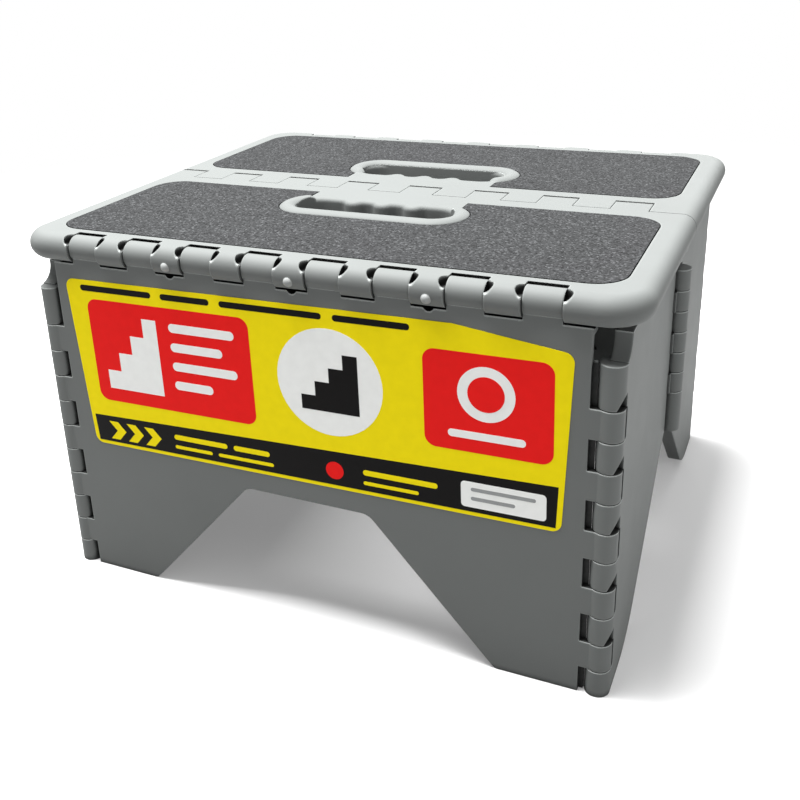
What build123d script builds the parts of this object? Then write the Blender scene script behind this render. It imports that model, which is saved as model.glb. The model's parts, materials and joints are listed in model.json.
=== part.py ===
# Folding step: two hinged tread halves on a box of hinged panels that closes flat.
# Frame: X along the long side, Y from front to rear, Z up, origin on the floor under the middle.
from build123d import *
import os
from math import cos, radians, sin, tan

# Overall sizes, in millimetres
deck_width = 340.0
deck_depth = 295.0
deck_height = 208.0
rim_depth = 15.0
deck_corner_radius = 21.0

# Hinge axes: edge and corner axes lie equally far from the middle, and the centre and mid-side
# axes are offset by the same amount, so that the tread and the sides fold by equal angles
edge_axis_inset = 8.5
corner_axis_inset = 15.0
fold_offset = 7.5
fold_angle = 86.0

# Hinge rods and their fit
rod_radius = 2.0
rod_clearance = 0.05
rod_end_gap = 0.3
edge_rod_margin = 12.0
centre_rod_inset = 12.0
upright_rod_inset = 4.0

# Knuckles
edge_barrel_radius = 7.0
edge_knuckle_pitch = 35.5
edge_knuckle_width = 18.0
tab_pitch = 20.7
tab_reach = 7.5
corner_barrel_radius = 6.2
corner_foot_level = 14.8
corner_knuckle_pitch = 15.6
corner_top_room = 16.0
corner_top_drop = 11.5
mid_barrel_radius = 6.0
mid_knuckle_pitch = 12.2
mid_foot_level = 78.0
mid_foot_room = 24.0
mid_top_drop = 12.3

# Running gaps
knuckle_gap = 0.4
barrel_gap = 0.6
edge_barrel_gap = 1.4
sweep_gap = 0.5
front_pocket_gap = 0.6
rear_pocket_gap = 2.6
mid_pocket_gap = 1.2
window_gap = 2.5
fold_gap = 0.6

# Tread halves
plate_thickness = 4.0
side_rim_width = 10.0
edge_beam_width = 16.0
centre_beam_width = 16.0
deck_rib_thickness = 2.0
deck_rib_pitch = 28.0
rim_flat = 0.2
relief_radius = 3.4
relief_depth = 4.5
relief_advance = 4.0
bumper_radius = 2.6
bumper_height = 1.5
bumper_angle = 18.0

# Tread pads
recess_depth = 1.5
pad_thickness = 1.7
pad_gap = 0.6
pad_side_margin = 15.0
pad_front_margin = 17.5
pad_inner_edge = 20.0
pad_corner_radius = 16.0

# Hand grips
grip_length = 95.0
grip_width = 21.0
grip_centre = 47.5
grip_wall = 2.5
lip_width = 9.0
lip_height = 1.8
lip_wrap = 50.0
lip_root = 2.6
finger_count = 4
finger_depth = 4.6
finger_round = 2.5
bump_radius = 6.0
bump_blend = 4.4

# End panels
panel_wall = 3.0
barrel_proud = 1.2
web_thickness = 5.0
web_lap = 4.0
arch_foot_half_width = 104.0
arch_top_half_width = 36.0
arch_height = 75.5
arch_corner_radius = 9.0
foot_corner_radius = 5.0
panel_rib_width = 2.5
panel_rib_height = 7.0
top_flange_drop = 2.9
window_lip = 0.6
window_lip_lap = 0.2
panel_ribs = [((52.0, 59.0), (90.0, 80.0)), ((76.0, 34.0), (137.0, 48.0))]

# Side panels
side_thickness = 8.0
side_wall = 3.0
side_top_drop = 12.0
side_seam = 0.6
side_foot_length = 41.0
side_apex_inset = 9.0
side_knee_radius = 55.0
side_flange = 3.0
side_rib_thickness = 2.0
side_rib_count = 3
cove_radius = 10.0
cove_inset = -2.5
centre_notch_half = 12.0
wedge_width = 3.2
wedge_height = 9.5
wedge_back = 1.5

# Printed sheet on the front panel
label_side_margin = 6.6
label_top_margin = 7.0
label_foot_margin = 11.5
label_taper = 4.7
label_cut_length = 57.0
label_cut_drop = 8.0
label_tilt = 0.7
label_thickness = 0.25
label_corner_radius = 5.0

# Places worked out from the sizes above
deck_half_width = deck_width / 2
deck_front = deck_depth / 2
hinge_y = deck_front - edge_axis_inset
rim_bottom = deck_height - rim_depth
edge_z = deck_height - rim_depth / 2
centre_z = edge_z - fold_offset
plate_bottom = deck_height - plate_thickness
corner_x = deck_half_width - corner_axis_inset
mid_x = corner_x + fold_offset
side_face = corner_x + corner_barrel_radius
side_inner = side_face - side_thickness
side_top = edge_z - side_top_drop
panel_face = hinge_y + corner_barrel_radius - barrel_proud
panel_inner = panel_face - panel_wall
panel_half_width = corner_x - corner_barrel_radius - window_gap
panel_top = rim_bottom
pad_half_width = deck_half_width - pad_side_margin
pad_outer_edge = deck_front - pad_front_margin
rim_sweep = edge_axis_inset + sweep_gap
bumper_seat = rim_depth / 2 + bumper_height - bumper_radius
bumper_ahead = edge_axis_inset - rim_depth / 2 + bumper_seat * cos(radians(bumper_angle))
bumper_below = bumper_seat * sin(radians(bumper_angle))
bore_radius = rod_radius + rod_clearance
half_gap = knuckle_gap / 2
past = 1.0


def block(x0, x1, y0, y1, z0, z1):
    """A box between two corners."""
    return Pos((x0 + x1) / 2, (y0 + y1) / 2, (z0 + z1) / 2) * Box(x1 - x0, y1 - y0, z1 - z0)


def bar_x(radius, x0, x1, y, z):
    """A round bar along X."""
    return Pos((x0 + x1) / 2, y, z) * Cylinder(radius, x1 - x0, rotation=(0, 90, 0))


def bar_z(radius, z0, z1, x, y):
    """A round bar along Z."""
    return Pos(x, y, (z0 + z1) / 2) * Cylinder(radius, z1 - z0)


def turned(part):
    """The same moulding after half a turn about the vertical axis."""
    return Rot(0, 0, 180) * part


def every_other(levels, first):
    """Every other span between neighbouring levels."""
    return [(levels[i], levels[i + 1]) for i in range(first, len(levels) - 1, 2)]


# Knuckle places: as many as the sizes leave room for
edge_knuckle_count = 2 * int(panel_half_width // edge_knuckle_pitch)
edge_knuckles = [edge_knuckle_pitch * (i - (edge_knuckle_count - 1) / 2) for i in range(edge_knuckle_count)]
edge_knuckle_end = edge_knuckles[-1] + edge_knuckle_width / 2
bumper_places = [2 * edge_knuckle_pitch * i for i in (-1, 0, 1)]
tab_count = 2 * int(deck_half_width // tab_pitch)
tab_levels = [tab_pitch * (i - tab_count / 2) for i in range(tab_count + 1)]
own_tabs = every_other(tab_levels, 0)
facing_tabs = every_other(tab_levels, 1)
corner_barrel_top = side_top - corner_top_drop
corner_room = corner_barrel_top - corner_foot_level - corner_top_room + corner_knuckle_pitch
corner_joints = 2 * int(corner_room / 2 // corner_knuckle_pitch)
corner_levels = [corner_foot_level + corner_knuckle_pitch * i for i in range(corner_joints)]
corner_levels = [0.0, *corner_levels, corner_barrel_top]
side_corner_spans = every_other(corner_levels, 0)
panel_corner_spans = every_other(corner_levels, 1)
mid_barrel_top = side_top - mid_top_drop
mid_joints = int((mid_barrel_top - mid_foot_level - mid_foot_room) // mid_knuckle_pitch)
mid_levels = [mid_barrel_top - mid_knuckle_pitch * i for i in range(mid_joints, -1, -1)]
mid_levels = [mid_foot_level, *mid_levels]

# Rod ends
edge_rod_end = edge_knuckle_end + edge_rod_margin
centre_rod_end = deck_half_width - centre_rod_inset
corner_rod_span = (upright_rod_inset, corner_barrel_top - upright_rod_inset)
mid_rod_span = (mid_foot_level + upright_rod_inset, mid_barrel_top - upright_rod_inset)


def grip_outline(grow):
    """Stadium round the front half's hand grip, grown on all sides."""
    return Pos(0, -grip_centre) * SlotOverall(grip_length + 2 * grow, grip_width + 2 * grow)


def grip_hole():
    """Outline of the hand hole, with soft bumps between the fingers on the side of the centre hinge."""
    hole = Pos(0, finger_depth / 2 - grip_centre) * SlotOverall(grip_length, grip_width + finger_depth)
    edge = grip_width / 2 + finger_depth - grip_centre
    pitch = (grip_length - grip_width) / finger_count
    for i in range(finger_count - 1):
        x = pitch * (i - (finger_count - 2) / 2)
        hole -= Pos(x, edge + bump_radius - finger_depth) * Circle(bump_radius)
    bump_feet = [v for v in hole.vertices() if abs(v.Y - edge) < 0.01 and abs(v.X) < 1.5 * pitch]
    return fillet(bump_feet, bump_blend)


def grip_frame():
    """Top of the tread round the hand hole, with the hole's upper edge rounded."""
    zone = grip_outline(grip_wall + finger_depth + finger_round)
    frame = extrude(Pos(0, 0, deck_height - 2 * finger_round) * (zone - grip_hole()), 2 * finger_round)
    edge = frame.faces().sort_by(Axis.Z)[-1].inner_wires()[0].edges()
    return fillet(edge, finger_round)


def pad_outline(grow):
    """Outline of the front tread pad, cut out round the hand grip."""
    width = 2 * (pad_half_width + grow)
    depth = pad_outer_edge - pad_inner_edge + 2 * grow
    sheet = RectangleRounded(width, depth, pad_corner_radius + grow)
    mouth = Pos(0, -grip_centre / 2) * Rectangle(grip_length - 2 * grow, grip_centre)
    collar = grip_outline(lip_width + pad_gap - grow)
    return Pos(0, -(pad_outer_edge + pad_inner_edge) / 2) * sheet - collar - mouth


def grip_lip():
    """Raised rounded lip round the outer side of the hand grip, with domed ends."""
    bulge = (lip_width ** 2 / 4 + lip_height ** 2) / (2 * lip_height)
    radius = (grip_width + lip_width) / 2
    reach = (grip_length - grip_width) / 2
    left = CenterArc((-reach, -grip_centre), radius, 180 - lip_wrap, 90 + lip_wrap)
    run = Line((-reach, -grip_centre - radius), (reach, -grip_centre - radius))
    right = CenterArc((reach, -grip_centre), radius, 270, 90 + lip_wrap)
    path = Pos(0, 0, deck_height) * Wire([left, run, right])
    start = Plane(path @ 0, x_dir=Vector(0, 0, 1).cross(path % 0), z_dir=path % 0)
    band = Pos(0, (lip_height - lip_root) / 2) * Rectangle(lip_width, lip_height + lip_root)
    section = Pos(0, lip_height - bulge) * Circle(bulge) & band
    lip = sweep(start * section, path=path)
    for end in (path @ 0, path @ 1):
        ball = Pos(end.X, end.Y, end.Z + lip_height - bulge) * Sphere(bulge)
        lip += ball & Pos(end.X, end.Y, end.Z) * Cylinder(lip_width / 2, 2 * lip_root + lip_height)
    return lip


def bumpers():
    """Small round stops on the tread's front rim."""
    ball = Sphere(bumper_radius)
    return [Pos(x, -hinge_y - bumper_ahead, edge_z - bumper_below) * ball for x in bumper_places]


def rib_places(low, high):
    """Evenly spaced places between two walls, near the ribs' pitch."""
    count = int((high - low) // deck_rib_pitch)
    return [low + (high - low) * (i + 1) / (count + 1) for i in range(count)]


def deck_half(pocket_gap):
    """Front tread half: rounded rim, ribbed plate, hand grip, edge notches and centre tabs."""
    depth = deck_front + tab_reach
    outline = Pos(0, (tab_reach - deck_front) / 2) * Rectangle(deck_width, depth)
    outline = fillet(outline.vertices().group_by(Axis.Y)[0], deck_corner_radius)
    half = extrude(Pos(0, 0, rim_bottom) * outline, rim_depth)
    rounded = half.edges().filter_by(Axis.Z, reverse=True) - half.edges().group_by(Axis.Y)[-1]
    half = fillet(rounded, (rim_depth - rim_flat) / 2)

    # The hollow under the plate, with its ribs and the wall round the grip
    hollow_x = deck_half_width - side_rim_width
    hollow_front = -(deck_front - edge_beam_width)
    half -= block(-hollow_x, hollow_x, hollow_front, -centre_beam_width, rim_bottom - past, plate_bottom)
    reach = deck_rib_thickness / 2
    for x in rib_places(-hollow_x, hollow_x):
        half += block(x - reach, x + reach, hollow_front - past, past - centre_beam_width, rim_bottom,
                      plate_bottom + past)
    for y in rib_places(hollow_front, -centre_beam_width):
        half += block(-hollow_x - past, hollow_x + past, y - reach, y + reach, rim_bottom,
                      plate_bottom + past)
    collar = grip_outline(grip_wall + finger_depth)
    half += extrude(Pos(0, 0, rim_bottom) * collar, rim_depth - recess_depth)

    # Grip, pad recess and rim stops
    hole = extrude(Pos(0, 0, rim_bottom - past) * grip_hole(), rim_depth + 2 * past + lip_height)
    zone = grip_outline(grip_wall + finger_depth + finger_round)
    half -= extrude(Pos(0, 0, deck_height - 2 * finger_round) * zone, 2 * finger_round + past)
    half += grip_frame()
    half -= extrude(Pos(0, 0, deck_height - recess_depth) * pad_outline(pad_gap), recess_depth + past)
    half += grip_lip()
    half -= hole
    for stop in bumpers():
        half += stop

    # Centre hinge: pockets for the facing tabs, then barrels under this half's own tabs
    for low, high in facing_tabs:
        end = deck_half_width + past if high == tab_levels[-1] else high + half_gap
        half -= block(low - half_gap, end, -(tab_reach + pocket_gap), tab_reach + past,
                      rim_bottom - past, deck_height + past)
    for low, high in own_tabs:
        half += bar_x(tab_reach, low + half_gap, high - half_gap, 0, centre_z)
    half -= bar_x(bore_radius, -centre_rod_end - rod_end_gap, centre_rod_end + rod_end_gap, 0, centre_z)

    # Edge hinge: notches round the panel's knuckles, with round reliefs at their ends
    reach = edge_knuckle_width / 2 + knuckle_gap
    relief_y = -hinge_y - relief_advance
    for x in edge_knuckles:
        half -= bar_x(edge_barrel_radius + edge_barrel_gap, x - reach, x + reach, -hinge_y, edge_z)
        half -= block(x - reach, x + reach, -deck_front - past, -hinge_y, rim_bottom - past,
                      deck_height + past)
        for end in (x - reach, x + reach):
            half -= bar_z(relief_radius, deck_height - relief_depth, deck_height + past, end, relief_y)
    half -= bar_x(bore_radius, -edge_rod_end - rod_end_gap, edge_rod_end + rod_end_gap, -hinge_y, edge_z)
    return half


def tread_pad():
    """Grit pad in the front tread half."""
    return extrude(Pos(0, 0, deck_height - recess_depth) * pad_outline(0), pad_thickness)


def arch_outline(grow):
    """Arch between a panel's feet, grown on all sides, in the panel's own plane."""
    lean = (arch_foot_half_width - arch_top_half_width) / arch_height
    spread = grow * (1 + lean ** 2) ** 0.5
    top = arch_height + grow
    top_x = arch_top_half_width + spread - lean * grow
    foot_x = arch_foot_half_width + spread + lean * past
    return make_face(Polyline((-foot_x, -past), (-top_x, top), (top_x, top), (foot_x, -past), close=True))


def panel_rib_pattern():
    """Ribs inside an end panel: round the arch and slanting out to the feet."""
    pattern = arch_outline(panel_rib_width) - arch_outline(0)
    for start, end in panel_ribs:
        run = Vector(*end) - Vector(*start)
        middle = (Vector(*end) + Vector(*start)) / 2
        rib = Rectangle(run.length, panel_rib_width)
        turn = Vector(1, 0, 0).get_signed_angle(run)
        pattern += Pos(middle.X, middle.Y) * Rot(0, 0, turn) * rib
        pattern += Pos(-middle.X, middle.Y) * Rot(0, 0, -turn) * rib
    return pattern


def rib_room():
    """Space that the folded side panels leave inside the end panel."""
    slope = tan(radians(90 - fold_angle))
    start = corner_x - panel_half_width
    low = -hinge_y - (corner_x - side_inner) / cos(radians(90 - fold_angle)) - fold_gap
    crest = panel_rib_height - panel_inner
    crest_x = corner_x - (crest - low) / slope
    edge = (panel_half_width, low + slope * start)
    ring = [(-edge[0], -panel_inner), (-edge[0], edge[1]), (-crest_x, crest), (crest_x, crest), edge,
            (edge[0], -panel_inner)]
    return extrude(make_face(Polyline(*ring, close=True)), panel_top)


def end_panel():
    """Front panel: arched plate, knuckles along the tread's edge and down both corners."""
    plate = Pos(0, panel_top / 2) * Rectangle(2 * panel_half_width, panel_top) - arch_outline(0)
    arch_top = [v for v in plate.vertices() if abs(v.Y - arch_height) < past]
    plate = fillet(arch_top, arch_corner_radius)
    feet = [v for v in plate.vertices() if v.Y < past and abs(v.X) < panel_half_width - past]
    plate = fillet(feet, foot_corner_radius)
    inside = Plane.XZ.offset(panel_inner)
    panel = extrude(inside * plate, panel_wall)
    ribs = extrude(inside * panel_rib_pattern(), -panel_rib_height) & rib_room()
    panel += ribs - extrude(inside * arch_outline(0), 2 * panel_rib_height, both=True)
    flange = Pos(0, panel_top - top_flange_drop) * Rectangle(2 * panel_half_width, panel_rib_width)
    panel += extrude(inside * flange, -panel_rib_height)

    # The top edge is hollowed to let the tread's rim and its stops turn past it
    panel -= bar_x(rim_sweep, -deck_half_width, deck_half_width, -hinge_y, edge_z)
    groove = Rot(0, 90, 0) * Torus((bumper_ahead ** 2 + bumper_below ** 2) ** 0.5, bumper_radius + sweep_gap)
    for x in bumper_places:
        panel -= Pos(x, -hinge_y, edge_z) * groove

    for x in edge_knuckles:
        low, high = x - edge_knuckle_width / 2, x + edge_knuckle_width / 2
        panel += block(low, high, -panel_face, web_thickness - panel_face, panel_top - web_lap, edge_z)
        panel += bar_x(edge_barrel_radius, low, high, -hinge_y, edge_z)
    panel -= bar_x(bore_radius, -edge_rod_end, edge_rod_end, -hinge_y, edge_z)

    for z0, z1 in panel_corner_spans:
        low, high = z0 + half_gap, z1 - half_gap
        panel += block(-corner_x, corner_x, -panel_face, -panel_inner, low, high) - extrude(
            inside * arch_outline(past), 2 * panel_wall, both=True)
        for x in (-corner_x, corner_x):
            panel += bar_z(corner_barrel_radius, low, high, x, -hinge_y)
    for z0, z1 in side_corner_spans:
        low, high = max(z0 - half_gap, 0), z1 + half_gap
        lip_face = window_lip_lap + panel_inner
        lip = block(panel_half_width - past, corner_x, -lip_face, window_lip - lip_face, low, high)
        lip -= bar_z(corner_barrel_radius + barrel_gap, low, high, corner_x, -hinge_y)
        panel += [lip, mirror(lip, Plane.YZ)]
    for x in (-corner_x, corner_x):
        panel -= bar_z(bore_radius, 0, corner_barrel_top, x, -hinge_y)
    return panel


def side_outline(inset):
    """Outline of a side half in the YZ plane: one foot at the corner and a slanting lower edge."""
    apex_y = -side_apex_inset
    knee_y = side_foot_length - hinge_y
    points = [(-hinge_y, 0), (knee_y, 0), (apex_y, mid_foot_level), (-side_seam, mid_foot_level),
              (-side_seam, side_top), (-hinge_y, side_top)]
    outline = make_face(Polyline(*points, close=True))
    knee = outline.vertices().sort_by_distance((knee_y, 0, 0))[0]
    outline = fillet(knee, side_knee_radius)
    return offset(outline, -inset) if inset else outline


def bore_span(rod_span):
    """Ends of the blind bore round a rod."""
    return rod_span[0] - rod_end_gap, rod_span[1] + rod_end_gap


def wedge(level):
    """Small three-cornered relief in the outer face over the end of a panel knuckle."""
    low, high = side_face - wedge_width, side_face + past
    corners = make_face(Polyline((low, level), (high, level), (high, level + wedge_height), close=True))
    return extrude(Plane.XZ.offset(hinge_y - wedge_back) * corners, wedge_back + corner_barrel_radius + past)


def side_half(own_spans, facing_spans):
    """Right front side half: flanged plate with corner knuckles in front and mid knuckles behind."""
    half = extrude(Plane.YZ.offset(side_inner) * side_outline(0), side_thickness)
    hollow_low = -(hinge_y - corner_barrel_radius - side_flange)
    hollow_high = -(mid_barrel_radius + mid_pocket_gap + side_flange)
    hollow_depth = side_thickness - side_wall
    hollow = extrude(Plane.YZ.offset(side_inner) * side_outline(side_flange), hollow_depth)
    hollow &= block(0, deck_half_width, hollow_low, hollow_high, 0, corner_barrel_top - side_flange)
    rib_pitch = (corner_barrel_top - mid_foot_level) / side_rib_count
    for i in range(side_rib_count):
        z = mid_foot_level + rib_pitch * i
        hollow -= block(0, deck_half_width, -hinge_y, 0, z, z + side_rib_thickness)
    half -= hollow

    # Corner barrels, with room for the panel's knuckles and the cove above them
    for z0, z1 in side_corner_spans:
        half += bar_z(corner_barrel_radius, z0 + half_gap if z0 else 0, z1 - half_gap, corner_x, -hinge_y)
    for z0, z1 in panel_corner_spans:
        half -= bar_z(corner_barrel_radius + barrel_gap, z0 - half_gap, z1 + half_gap, corner_x, -hinge_y)
        half -= block(0, deck_half_width, -deck_front, -hinge_y, z0 - half_gap, z1 + half_gap)
        half -= wedge(z1)
    cove_y = cove_inset - hinge_y
    half -= bar_x(cove_radius, 0, deck_half_width, cove_y, corner_barrel_top + cove_radius)
    half -= block(0, deck_half_width, -deck_front, cove_y, corner_barrel_top, side_top + past)
    half -= bar_z(bore_radius, *bore_span(corner_rod_span), corner_x, -hinge_y)

    # Mid barrels, with room for the facing half's and for the tread's centre hinge
    pocket_y = -(mid_barrel_radius + mid_pocket_gap)
    for z0, z1 in facing_spans:
        half -= block(0, deck_half_width, pocket_y, past, z0 - half_gap, z1 + half_gap)
    for z0, z1 in own_spans:
        low, high = z0 + half_gap, z1 - half_gap
        half += block(side_inner, mid_x, -side_apex_inset, mid_barrel_radius, low, high)
        half += bar_z(mid_barrel_radius, low, high, mid_x, 0)
    half -= bar_z(bore_radius, *bore_span(mid_rod_span), mid_x, 0)
    notch_floor = centre_z - tab_reach - past
    half -= block(0, deck_half_width, -centre_notch_half, past, notch_floor, side_top + past)
    return half


def front_label():
    """Printed sheet stuck to the front panel."""
    side = panel_half_width - label_side_margin
    foot_side = side - label_taper
    top = (panel_top - label_top_margin - arch_height - label_foot_margin) / 2
    corners = [(-foot_side, -top), (foot_side, -top), (side, top - label_cut_drop),
               (side - label_cut_length, top), (-side, top)]
    sheet = make_face(Polyline(*corners, close=True))
    sheet = fillet(sheet.vertices(), label_corner_radius)
    sheet = Pos(0, arch_height + label_foot_margin + top) * Rot(0, 0, label_tilt) * sheet
    return extrude(Plane.XZ.offset(panel_face) * sheet, label_thickness)


# The pieces
panel = end_panel()
front_mid_spans = every_other(mid_levels, 1)
rear_mid_spans = every_other(mid_levels, 0)
fewer_knuckles = side_half(front_mid_spans, rear_mid_spans)
more_knuckles = mirror(side_half(rear_mid_spans, front_mid_spans), about=Plane.XZ)
pad = tread_pad()
pieces = {
    "front_deck": deck_half(front_pocket_gap),
    "rear_deck": turned(deck_half(rear_pocket_gap)),
    "front_tread_pad": pad,
    "rear_tread_pad": turned(pad),
    "front_panel": panel,
    "rear_panel": turned(panel),
    "right_front_side": fewer_knuckles,
    "right_rear_side": more_knuckles,
    "left_front_side": turned(more_knuckles),
    "left_rear_side": turned(fewer_knuckles),
    "front_label": front_label(),
    "front_edge_rod": bar_x(rod_radius, -edge_rod_end, edge_rod_end, -hinge_y, edge_z),
    "rear_edge_rod": bar_x(rod_radius, -edge_rod_end, edge_rod_end, hinge_y, edge_z),
    "centre_rod": bar_x(rod_radius, -centre_rod_end, centre_rod_end, 0, centre_z),
}
for side, x in (("left", -1), ("right", 1)):
    for end, y in (("front", -1), ("rear", 1)):
        pieces[f"{side}_{end}_corner_rod"] = bar_z(rod_radius, *corner_rod_span, x * corner_x, y * hinge_y)
    pieces[f"{side}_mid_rod"] = bar_z(rod_radius, *mid_rod_span, x * mid_x, 0)

os.makedirs("parts", exist_ok=True)
for name, piece in pieces.items():
    export_step(piece, f"parts/{name}.step")
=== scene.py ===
import json
from math import cos, radians, sin

import bmesh
import bpy
from mathutils import Matrix, Vector


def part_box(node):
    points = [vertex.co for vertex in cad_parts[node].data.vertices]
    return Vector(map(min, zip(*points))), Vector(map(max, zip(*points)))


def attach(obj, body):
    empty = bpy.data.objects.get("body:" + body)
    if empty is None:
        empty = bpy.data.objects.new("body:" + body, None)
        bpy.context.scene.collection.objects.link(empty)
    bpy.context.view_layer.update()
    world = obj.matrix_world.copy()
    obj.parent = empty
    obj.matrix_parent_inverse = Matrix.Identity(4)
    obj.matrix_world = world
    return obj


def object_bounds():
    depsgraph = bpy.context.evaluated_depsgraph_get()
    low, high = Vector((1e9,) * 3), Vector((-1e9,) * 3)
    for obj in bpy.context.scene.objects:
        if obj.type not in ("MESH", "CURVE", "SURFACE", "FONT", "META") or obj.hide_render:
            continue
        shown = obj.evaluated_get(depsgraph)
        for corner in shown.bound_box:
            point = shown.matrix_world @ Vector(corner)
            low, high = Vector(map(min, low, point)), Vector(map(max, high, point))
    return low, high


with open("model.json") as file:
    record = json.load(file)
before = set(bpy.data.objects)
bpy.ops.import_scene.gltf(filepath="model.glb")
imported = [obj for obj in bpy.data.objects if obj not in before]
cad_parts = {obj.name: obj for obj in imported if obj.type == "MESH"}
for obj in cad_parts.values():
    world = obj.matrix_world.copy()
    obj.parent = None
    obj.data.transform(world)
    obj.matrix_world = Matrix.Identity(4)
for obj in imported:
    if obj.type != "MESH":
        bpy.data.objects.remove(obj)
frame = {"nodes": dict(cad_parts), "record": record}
cad_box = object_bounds()

# Lengths are metres and angles degrees, unless a comment says otherwise
MM = 0.001

# Camera, from the photograph's perspective
IMAGE_SIZE = 800
FOCAL_PIXELS = 1002.9
CAMERA_PLACE = Vector((228.4, -541.3, 357.1)) * MM
CAMERA_AZIMUTH = 25.28
CAMERA_ELEVATION = 20.69
CAMERA_ROLL = -2.27
CAMERA_SHIFT = (0.04, -0.12)
CAMERA_NEAREST = 10.0 * MM

# Colours are linear values, scales are waves per metre, and a range is where a value makes a change
WHITE = (1.0, 1.0, 1.0, 1.0)
NOISE_RANGE = (0.3, 0.7)
WHOLE_RANGE = (0.0, 1.0)

# Sockets of the Mix node that serve colours, which share their names with others
MIX_SHARE, MIX_FIRST, MIX_SECOND, MIX_RESULT = 0, 6, 7, 2

# Grey plastic of the mouldings
PLASTIC_DARK = (0.128, 0.135, 0.1315)
PLASTIC_LIGHT = (0.133, 0.1405, 0.137)
MOTTLE_SCALE = 22.0
MOTTLE_RANGE = (0.30, 0.72)
GRAIN_SCALE = 1400.0
GRAIN_DETAIL = 2.0
GRAIN_STRENGTH = 0.10
GRAIN_DEPTH = 0.15 * MM
PLASTIC_GLOSS_SCALE = 60.0
PLASTIC_ROUGHNESS = (0.64, 0.68)
PLASTIC_SPECULAR = 0.2

# Painted shade in the crevices of the plastic, by the openness round each point
PAINTED_SHADE_DARK = (0.006, 0.0065, 0.006)
CREVICE_REACH = 7.0 * MM
CREVICE_SAMPLES = 8
CREVICE_RANGE = (0.46, 0.70)
CREVICE_SHARES = (0.95, 0.0)
FREE_RANGE = (0.55, 0.78)

# Paler edges of the plastic, by how far the rounded normal leaves the face's own normal: wear with a
# painted highlight on free edges, and a brighter painted highlight where the normal turns up
PLASTIC_WEAR_AND_HIGHLIGHT = (0.26, 0.275, 0.268)
PLASTIC_PAINTED_HIGHLIGHT = (0.58, 0.61, 0.595)
EDGE_ROUND = 1.5 * MM
EDGE_SAMPLES = 6
WEAR_AND_HIGHLIGHT_RANGE = (0.80, 0.985)
WEAR_AND_HIGHLIGHT_SHARES = (0.6, 0.0)
PAINTED_HIGHLIGHT_RANGE = (0.16, 0.52)
PAINTED_HIGHLIGHT_SHARES = (0.0, 0.9)

# Grit of the tread pads, with each grain's tone taken by chance
GRIT_DARK = (0.006, 0.0062, 0.0064)
GRIT_MIDDLE = (0.026, 0.0268, 0.0276)
GRIT_BRIGHT = (0.070, 0.072, 0.074)
GRIT_TONES = (GRIT_DARK, GRIT_MIDDLE, GRIT_MIDDLE, GRIT_BRIGHT)
GRIT_PLACES = (0.0, 0.50, 0.82, 1.0)
GRIT_SCALE = 1150.0
GRIT_STRENGTH = 0.6
GRIT_DEPTH = 0.3 * MM
GRIT_ROUGHNESS = 0.9
GRIT_SPECULAR = 0.12

# Steel of the hinge rods
STEEL = (0.55, 0.55, 0.56)
STEEL_BRIGHT = (0.68, 0.68, 0.68)
STEEL_SCALE = 300.0
STEEL_RANGE = (0.3, 0.8)
STEEL_GLOSS_SCALE = 900.0
STEEL_ROUGHNESS = (0.25, 0.42)

# Printed vinyl of the front sheet
SHEET_YELLOW = (0.88, 0.72, 0.006)
PRINT_WHITE = (0.86, 0.87, 0.85)
PRINT_RED = (0.80, 0.014, 0.013)
PRINT_BLACK = (0.004, 0.0036, 0.0036)
PRINT_GREY = (0.30, 0.31, 0.31)
INK_SCALE = 180.0
INK_SHARES = (0.97, 1.02)
WAVE_SCALE = 70.0
WAVE_DETAIL = 1.0
WAVE_STRENGTH = 0.05
WAVE_DEPTH = 0.4 * MM
VINYL_ROUGHNESS = 0.45
VINYL_SPECULAR = 0.04

# Print on the front sheet, in millimetres from a point at this height, round which the sheet is tilted
PRINT_MIDDLE = 136.5
PRINT_TILT = 0.7
ARC_STEPS = 12

# Layers of the print, counted from the sheet, and the thickness of each
ON_SHEET, ON_FIELD, ON_MARK = 1, 2, 3
PRINT_THICKNESS = 0.06 * MM

# Boxes of the print: left, foot, right, top and corner radius
RED_FIELDS = ((-127, -21, -26, 39, 6), (68, -15, 131, 36, 6))
WHITE_PLATE = (86, -45, 128, -31, 2)

# Bars of the print: start, level, length and height, with ends rounded by a share of the height
BAR_ROUND = 0.48
HEAD_BARS = ((-130, 45, 46, 3.4), (-78, 45, 30, 3.4), (-42, 45, 58, 3.4), (22, 45, 40, 3.4))
FIELD_BARS = ((-75, 28, 40, 5), (-75, 17, 32, 5), (-75, 6, 40, 5), (-75, -5, 24, 5))
RING_BAR = (80, -6, 38, 4)
FOOT_BARS = (
    (-80, -37, 34, 3), (-42, -37, 22, 3), (34, -37, 40, 3),
    (-80, -43, 24, 2), (-52, -43, 34, 2), (34, -43, 30, 2),
)
PLATE_BARS = ((91, -35, 32, 2), (91, -40, 22, 2))

# Discs of the print: middle and radius, with four short flats
DISC_FLAT = 0.01
WHITE_DISC = (18, 10, 29)
RED_DOT = (18, -39, 5)
WHITE_RING = (99, 16, 14)
RING_FILL = (99, 16, 9)

# Flights of steps in the print: left end of the foot, run, rise and count
WHITE_STAIRS = (-119, -13, 9, 11, 4)
BLACK_STAIRS = (2, -6, 8, 8, 4)

# Arrow marks and the band along the sheet's foot
FOOT_BAND = ((-132.5, -47.5), (132.5, -47.5), (133.6, -25.5), (-133.4, -31.5))
CHEVRON_STARTS = (-124, -112, -100)
CHEVRON_LEVEL = -40
CHEVRON_WIDTH, CHEVRON_HEIGHT, CHEVRON_SLANT = 6, 11, 5

# Plastic of the small trim pieces
TRIM_SCALE = 500.0
TRIM_ROUGHNESS = 0.55
TRIM_SPECULAR = 0.15

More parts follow.
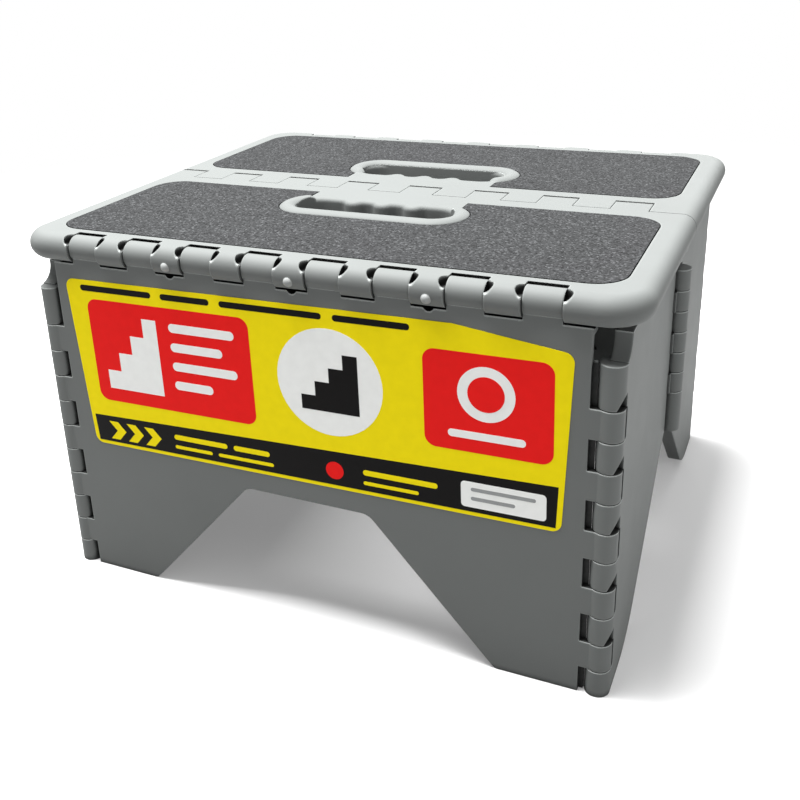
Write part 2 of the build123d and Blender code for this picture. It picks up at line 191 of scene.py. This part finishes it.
# Pale caps of the small stops on the tread's two outer edges; their paleness is a painted highlight
STUD_RADIUS = 2.75 * MM
STUD_PITCH = 71.0 * MM
STUD_AHEAD = 146.09 * MM
STUD_LEVEL = 198.52 * MM
STUD_SEGMENTS = 32
STUD_RINGS = 16
STUD_HIGHLIGHT_DIM = (0.26, 0.27, 0.265)
STUD_HIGHLIGHT_BRIGHT = (0.29, 0.30, 0.295)

# Thin strips on the end panels beside the corner knuckles, dark as painted shade, measured from the hinge
# axis
STRIP_INWARD = (6.08 * MM, 8.6 * MM)
STRIP_OUTWARD = (1.55 * MM, 2.26 * MM)
STRIP_PAST_ROD = 3.0 * MM
SHADE_STRIP_LIGHTER = (0.016, 0.017, 0.0165)

# Floor: its grey as seen and as it lights the step
FLOOR_SIZE = 12.0
FLOOR_SEEN = 0.80
FLOOR_BOUNCE = 0.25
FLOOR_ROUGHNESS = 0.9

# Distances over which the floor fades to white, and the share of white nearer than that
NEAR_FLOOR = 0.5
FAR_FLOOR = 1.2
SHADOW_LIFT = 0.2

# Light of the surroundings, and lamps by name, place, size and power in watts
WORLD_LEVEL = 0.44
LAMP_AIM = (0.0, 0.0, 0.2)
LAMPS = (
    ("top_lamp", (-0.36, -0.02, 1.55), 0.9, 101.0),
    ("side_lamp", (1.70, -0.40, 0.55), 1.0, 9.0),
    ("back_lamp", (0.25, 1.75, 0.95), 1.0, 12.0),
)


def paint(name):
    """A new material with its node tree and its main shader."""
    material = bpy.data.materials.new(name)
    material.use_nodes = True
    tree = material.node_tree
    return material, tree, tree.nodes["Principled BSDF"]


def fill(tree, node, inputs):
    """Sets a node's inputs; one that is given a socket gets a link."""
    for name, value in inputs.items():
        if isinstance(value, bpy.types.NodeSocket):
            tree.links.new(value, node.inputs[name])
        else:
            node.inputs[name].default_value = value


def add(tree, kind, inputs, **settings):
    """A new shader node with its settings and inputs."""
    node = tree.nodes.new(kind)
    for name, value in settings.items():
        setattr(node, name, value)
    fill(tree, node, inputs)
    return node


def ramp(tree, value, places, colours):
    """A colour ramp with the given colours at the given places."""
    node = add(tree, "ShaderNodeValToRGB", {"Fac": value})
    elements = node.color_ramp.elements
    while len(elements) < len(places):
        elements.new(0.5)
    for element, place, colour in zip(elements, places, colours):
        element.position = place
        element.color = (*colour, 1.0)
    return node.outputs["Color"]


def shares(tree, value, places, levels):
    """A ramp between levels of grey."""
    return ramp(tree, value, places, [(level, level, level) for level in levels])


def noise(tree, place, scale, detail=3.0):
    """Noise at a scale given in waves per metre."""
    inputs = {"Vector": place, "Scale": scale, "Detail": detail}
    return add(tree, "ShaderNodeTexNoise", inputs).outputs["Fac"]


def cover(tree, share, colour, upper):
    """A colour that another one covers by a share."""
    inputs = {MIX_SHARE: share, MIX_FIRST: colour, MIX_SECOND: (*upper, 1.0)}
    return add(tree, "ShaderNodeMix", inputs, data_type="RGBA").outputs[MIX_RESULT]


def product(tree, first, second):
    """Two values multiplied."""
    return add(tree, "ShaderNodeMath", {0: first, 1: second}, operation="MULTIPLY").outputs["Value"]


def relief(tree, height, strength, depth, **normal):
    """The normal of a surface with fine relief."""
    inputs = {"Height": height, "Strength": strength, "Distance": depth, **normal}
    return add(tree, "ShaderNodeBump", inputs).outputs["Normal"]


def own_place(tree):
    """The piece's own coordinates, in metres."""
    return add(tree, "ShaderNodeTexCoord", {}).outputs["Object"]


def edge_mask(tree, soft, flat):
    """A value that grows where the rounded normal leaves the face's own normal."""
    agree = add(tree, "ShaderNodeVectorMath", {0: soft, 1: flat}, operation="DOT_PRODUCT")
    return shares(tree, agree.outputs["Value"], WEAR_AND_HIGHLIGHT_RANGE, WEAR_AND_HIGHLIGHT_SHARES)


def painted_highlight_mask(tree, soft, flat):
    """A value that grows where the rounded normal turns up from the face's own normal, for a painted
    highlight on upper edges.
    """
    turn = add(tree, "ShaderNodeVectorMath", {0: soft, 1: flat}, operation="SUBTRACT")
    lift = add(tree, "ShaderNodeSeparateXYZ", {"Vector": turn.outputs["Vector"]}).outputs["Z"]
    return shares(tree, lift, PAINTED_HIGHLIGHT_RANGE, PAINTED_HIGHLIGHT_SHARES)


def moulded_plastic():
    """Grey moulded plastic: faint mottling, fine grain, painted shade in crevices, and paler free edges of
    wear and painted highlight.
    """
    material, tree, shader = paint("body_plastic")
    place = own_place(tree)
    colour = ramp(tree, noise(tree, place, MOTTLE_SCALE), MOTTLE_RANGE, (PLASTIC_DARK, PLASTIC_LIGHT))
    # Painted shade: the colour darkens in crevices, where little is open round each point
    reach = {"Distance": CREVICE_REACH}
    openness = add(tree, "ShaderNodeAmbientOcclusion", reach, samples=CREVICE_SAMPLES).outputs["AO"]
    crevice_shade = shares(tree, openness, CREVICE_RANGE, CREVICE_SHARES)
    colour = cover(tree, crevice_shade, colour, PAINTED_SHADE_DARK)
    flat = add(tree, "ShaderNodeNewGeometry", {}).outputs["Normal"]
    soft = add(tree, "ShaderNodeBevel", {"Radius": EDGE_ROUND}, samples=EDGE_SAMPLES).outputs["Normal"]
    free = shares(tree, openness, FREE_RANGE, WHOLE_RANGE)
    # Paler free edges: wear with a painted highlight
    wear_and_highlight = product(tree, edge_mask(tree, soft, flat), free)
    colour = cover(tree, wear_and_highlight, colour, PLASTIC_WEAR_AND_HIGHLIGHT)
    # Painted highlight on edges that turn up towards the light from above
    painted_highlight = product(tree, painted_highlight_mask(tree, soft, flat), free)
    colour = cover(tree, painted_highlight, colour, PLASTIC_PAINTED_HIGHLIGHT)
    grain = noise(tree, place, GRAIN_SCALE, GRAIN_DETAIL)
    fill(tree, shader, {
        "Base Color": colour,
        "Roughness": shares(tree, noise(tree, place, PLASTIC_GLOSS_SCALE), NOISE_RANGE, PLASTIC_ROUGHNESS),
        "Normal": relief(tree, grain, GRAIN_STRENGTH, GRAIN_DEPTH, Normal=soft),
        "Specular IOR Level": PLASTIC_SPECULAR,
    })
    return material


def grit_sheet():
    """Dark anti-slip sheet of mixed grains."""
    material, tree, shader = paint("tread_grit")
    cells = add(tree, "ShaderNodeTexVoronoi", {"Vector": own_place(tree), "Scale": GRIT_SCALE})
    chance = add(tree, "ShaderNodeSeparateColor", {"Color": cells.outputs["Color"]}).outputs["Red"]
    height = add(tree, "ShaderNodeMath", {0: 1.0, 1: cells.outputs["Distance"]}, operation="SUBTRACT")
    fill(tree, shader, {
        "Base Color": ramp(tree, chance, GRIT_PLACES, GRIT_TONES),
        "Normal": relief(tree, height.outputs["Value"], GRIT_STRENGTH, GRIT_DEPTH),
        "Roughness": GRIT_ROUGHNESS,
        "Specular IOR Level": GRIT_SPECULAR,
    })
    return material


def rod_steel():
    """Steel wire with an uneven gloss."""
    material, tree, shader = paint("rod_steel")
    place = own_place(tree)
    fill(tree, shader, {
        "Base Color": ramp(tree, noise(tree, place, STEEL_SCALE), STEEL_RANGE, (STEEL, STEEL_BRIGHT)),
        "Roughness": shares(tree, noise(tree, place, STEEL_GLOSS_SCALE), NOISE_RANGE, STEEL_ROUGHNESS),
        "Metallic": 1.0,
    })
    return material


def printed_vinyl(name, colour):
    """Printed sheet with a soft gloss and a faint unevenness of the ink."""
    material, tree, shader = paint(name)
    place = own_place(tree)
    tones = [tuple(share * channel for channel in colour) for share in INK_SHARES]
    wave = noise(tree, place, WAVE_SCALE, WAVE_DETAIL)
    fill(tree, shader, {
        "Base Color": ramp(tree, noise(tree, place, INK_SCALE), NOISE_RANGE, tones),
        "Normal": relief(tree, wave, WAVE_STRENGTH, WAVE_DEPTH),
        "Roughness": VINYL_ROUGHNESS,
        "Specular IOR Level": VINYL_SPECULAR,
    })
    return material


def trim_plastic(name, shade, pale):
    """Plastic of a small trim piece, between two tones."""
    material, tree, shader = paint(name)
    fill(tree, shader, {
        "Base Color": ramp(tree, noise(tree, own_place(tree), TRIM_SCALE), NOISE_RANGE, (shade, pale)),
        "Roughness": TRIM_ROUGHNESS,
        "Specular IOR Level": TRIM_SPECULAR,
    })
    return material


def finish_nodes():
    """Gives each node of the frame the material of its slot."""
    finishes = {
        "body_plastic": moulded_plastic(),
        "tread_grit": grit_sheet(),
        "rod_steel": rod_steel(),
        "label": printed_vinyl("label", SHEET_YELLOW),
    }
    for part in frame["record"]["subparts"]:
        mesh = frame["nodes"][part["node"]].data
        mesh.materials.clear()
        mesh.materials.append(finishes[part["material_slot"]])


def prism(shape, first, second):
    """A closed solid between two rings of points."""
    near = [shape.verts.new(point) for point in first]
    far = [shape.verts.new(point) for point in second]
    faces = [shape.faces.new(near), shape.faces.new(far)]
    for i in range(len(near)):
        faces.append(shape.faces.new((near[i - 1], near[i], far[i], far[i - 1])))
    bmesh.ops.recalc_face_normals(shape, faces=faces)


def add_piece(shape, name, finish, body):
    """Adds a shape to the scene as a piece that rides a body."""
    mesh = bpy.data.meshes.new(name)
    shape.to_mesh(mesh)
    shape.free()
    mesh.materials.append(finish)
    piece = bpy.data.objects.new(name, mesh)
    bpy.context.scene.collection.objects.link(piece)
    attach(piece, body)


def corner_arc(u, v, radius, start):
    """Points of a quarter circle."""
    angles = [radians(start + 90 * i / ARC_STEPS) for i in range(ARC_STEPS + 1)]
    return [(u + radius * cos(a), v + radius * sin(a)) for a in angles]


def rounded(u0, v0, u1, v1, radius):
    """Outline of a box with round corners."""
    low_u, high_u, low_v, high_v = u0 + radius, u1 - radius, v0 + radius, v1 - radius
    points = corner_arc(high_u, high_v, radius, 0)
    points += corner_arc(low_u, high_v, radius, 90)
    points += corner_arc(low_u, low_v, radius, 180)
    points += corner_arc(high_u, low_v, radius, 270)
    return points


def bar(u, v, length, height):
    """Outline of a round-ended bar that starts at u with its middle at v."""
    return rounded(u, v - height / 2, u + length, v + height / 2, BAR_ROUND * height)


def disc(u, v, radius):
    """Outline of a disc, with short flats that keep its four arcs apart."""
    return rounded(u - radius, v - radius, u + radius, v + radius, radius - DISC_FLAT)


def stairs(u, v, run, rise, count):
    """Outline of a flight of steps."""
    points = [(u, v)]
    for i in range(count):
        points.append((u + run * i, v + rise * (i + 1)))
        points.append((u + run * (i + 1), v + rise * (i + 1)))
    points.append((u + run * count, v))
    return points


def chevron(u, v, width, height, slant):
    """Outline of an arrow mark that points to the right."""
    low, high, tip = v - height / 2, v + height / 2, u + width + slant
    return [(u, low), (u + width, low), (tip, v), (u + width, high), (u, high), (u + slant, v)]


def on_sheet(outline, depth):
    """Points of an outline on the tilted sheet, at a depth."""
    turn = radians(PRINT_TILT)
    points = []
    for u, v in outline:
        x = u * cos(turn) - v * sin(turn)
        z = u * sin(turn) + v * cos(turn) + PRINT_MIDDLE
        points.append((x * MM, depth, z * MM))
    return points


def print_fields(name, colour, fields):
    """Thin printed fields of one colour on the front sheet; each is a layer and an outline."""
    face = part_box("front_label")[0].y
    back = face + PRINT_THICKNESS / 2
    shape = bmesh.new()
    for layer, outline in fields:
        front = face - layer * PRINT_THICKNESS
        prism(shape, on_sheet(outline, back), on_sheet(outline, front))
    add_piece(shape, name, printed_vinyl(name, colour), "front_panel")


def dress_sheet():
    """Generic print of coloured fields and simple marks for the front sheet."""
    black = [(ON_SHEET, FOOT_BAND)]
    black += [(ON_SHEET, bar(*place)) for place in HEAD_BARS]
    black += [(ON_FIELD, stairs(*BLACK_STAIRS))]
    red = [(ON_SHEET, rounded(*place)) for place in RED_FIELDS]
    red += [(ON_FIELD, disc(*RED_DOT)), (ON_MARK, disc(*RING_FILL))]
    white = [(ON_FIELD, stairs(*WHITE_STAIRS)), (ON_SHEET, disc(*WHITE_DISC))]
    white += [(ON_FIELD, bar(*place)) for place in FIELD_BARS]
    white += [(ON_FIELD, disc(*WHITE_RING)), (ON_FIELD, bar(*RING_BAR)), (ON_FIELD, rounded(*WHITE_PLATE))]
    arrow = (CHEVRON_LEVEL, CHEVRON_WIDTH, CHEVRON_HEIGHT, CHEVRON_SLANT)
    yellow = [(ON_FIELD, chevron(start, *arrow)) for start in CHEVRON_STARTS]
    yellow += [(ON_FIELD, bar(*place)) for place in FOOT_BARS]
    grey = [(ON_MARK, bar(*place)) for place in PLATE_BARS]
    print_fields("print_black", PRINT_BLACK, black)
    print_fields("print_red", PRINT_RED, red)
    print_fields("print_white", PRINT_WHITE, white)
    print_fields("print_yellow", SHEET_YELLOW, yellow)
    print_fields("print_grey", PRINT_GREY, grey)


def rim_studs():
    """Small round caps on the stops of both tread halves, painted pale as a highlight."""
    finish = trim_plastic("stud_plastic", STUD_HIGHLIGHT_DIM, STUD_HIGHLIGHT_BRIGHT)
    ball = {"u_segments": STUD_SEGMENTS, "v_segments": STUD_RINGS, "radius": STUD_RADIUS}
    for body, side in (("front_deck", -1), ("rear_deck", 1)):
        shape = bmesh.new()
        for x in (-STUD_PITCH, 0.0, STUD_PITCH):
            spot = Matrix.Translation((x, side * STUD_AHEAD, STUD_LEVEL))
            bmesh.ops.create_uvsphere(shape, matrix=spot, **ball)
        for face in shape.faces:
            face.smooth = True
        add_piece(shape, body + "_studs", finish, body)


def corner_shade_strips():
    """Thin strips, dark as painted shade, that close the slits between the end panels and the corner
    knuckles.
    """
    finish = trim_plastic("shade_strip_plastic", PAINTED_SHADE_DARK, SHADE_STRIP_LIGHTER)
    near, far = STRIP_INWARD
    inner, outer = STRIP_OUTWARD
    corners = ((near, inner), (far, inner), (far, outer), (near, outer))
    for end, along in (("front", -1), ("rear", 1)):
        shape = bmesh.new()
        for side, across in (("left", -1), ("right", 1)):
            low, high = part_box(side + "_" + end + "_corner_rod")
            axis = (low + high) / 2
            plan = [(axis.x - across * inward, axis.y + along * outward) for inward, outward in corners]
            bottom = [(x, y, low.z - STRIP_PAST_ROD) for x, y in plan]
            top = [(x, y, high.z + STRIP_PAST_ROD) for x, y in plan]
            prism(shape, bottom, top)
        add_piece(shape, end + "_corner_shade_strips", finish, end + "_panel")


def make_camera():
    """The camera at the photograph's viewing angle."""
    azimuth, elevation, roll = map(radians, (CAMERA_AZIMUTH, CAMERA_ELEVATION, CAMERA_ROLL))
    ahead = Vector((-sin(azimuth) * cos(elevation), cos(azimuth) * cos(elevation), -sin(elevation)))
    level = ahead.cross(Vector((0, 0, 1))).normalized()
    upright = level.cross(ahead)
    right = cos(roll) * level + sin(roll) * upright
    up = cos(roll) * upright - sin(roll) * level
    data = bpy.data.cameras.new("camera")
    data.lens = data.sensor_width * FOCAL_PIXELS / IMAGE_SIZE
    data.shift_x, data.shift_y = CAMERA_SHIFT
    data.clip_start = CAMERA_NEAREST
    camera = bpy.data.objects.new("camera", data)
    turn = Matrix((right, up, -ahead)).transposed().to_4x4()
    camera.matrix_world = Matrix.Translation(CAMERA_PLACE) @ turn
    bpy.context.scene.collection.objects.link(camera)
    bpy.context.scene.camera = camera


def background_rays(tree):
    """A value of 1 for rays that show the surroundings directly, in a gloss or through something clear."""
    rays = add(tree, "ShaderNodeLightPath", {}).outputs
    total = rays["Is Camera Ray"]
    for name in ("Is Glossy Ray", "Is Transmission Ray"):
        total = add(tree, "ShaderNodeMath", {0: total, 1: rays[name]}, use_clamp=True).outputs["Value"]
    return total


def make_floor():
    """Pale floor that keeps the shadow near the step and fades to white away from it."""
    bpy.ops.mesh.primitive_plane_add(size=FLOOR_SIZE, location=(0, 0, cad_box[0].z))
    floor = bpy.context.object
    material, tree, shader = paint("floor")
    seen = background_rays(tree)
    fill(tree, shader, {
        "Base Color": shares(tree, seen, WHOLE_RANGE, (FLOOR_BOUNCE, FLOOR_SEEN)),
        "Roughness": FLOOR_ROUGHNESS,
        "Specular IOR Level": 0.0,
    })
    spot = add(tree, "ShaderNodeNewGeometry", {}).outputs["Position"]
    away = add(tree, "ShaderNodeVectorMath", {0: spot}, operation="LENGTH").outputs["Value"]
    reach = {"Value": away, "From Min": NEAR_FLOOR, "From Max": FAR_FLOOR, "To Min": SHADOW_LIFT}
    far = add(tree, "ShaderNodeMapRange", reach).outputs["Result"]
    fade = product(tree, far, seen)
    white = add(tree, "ShaderNodeEmission", {"Color": WHITE, "Strength": 1.0})
    both = add(tree, "ShaderNodeMixShader", {0: fade, 1: shader.outputs[0], 2: white.outputs[0]})
    tree.links.new(both.outputs[0], tree.nodes["Material Output"].inputs["Surface"])
    floor.data.materials.append(material)


def make_world():
    """Surroundings that look white and light the step more softly."""
    world = bpy.data.worlds.new("surroundings")
    world.use_nodes = True
    tree = world.node_tree
    strength = shares(tree, background_rays(tree), WHOLE_RANGE, (WORLD_LEVEL, 1.0))
    fill(tree, tree.nodes["Background"], {"Color": WHITE, "Strength": strength})
    bpy.context.scene.world = world


def make_lamps():
    """Square soft studio lamps that face the step."""
    for name, place, size, power in LAMPS:
        data = bpy.data.lights.new(name, "AREA")
        data.size = size
        data.energy = power
        lamp = bpy.data.objects.new(name, data)
        lamp.location = place
        lamp.rotation_euler = (Vector(LAMP_AIM) - Vector(place)).to_track_quat("-Z", "Y").to_euler()
        bpy.context.scene.collection.objects.link(lamp)


finish_nodes()
dress_sheet()
rim_studs()
corner_shade_strips()
make_camera()
make_floor()
make_world()
make_lamps()
bpy.context.scene.view_settings.view_transform = "Standard"
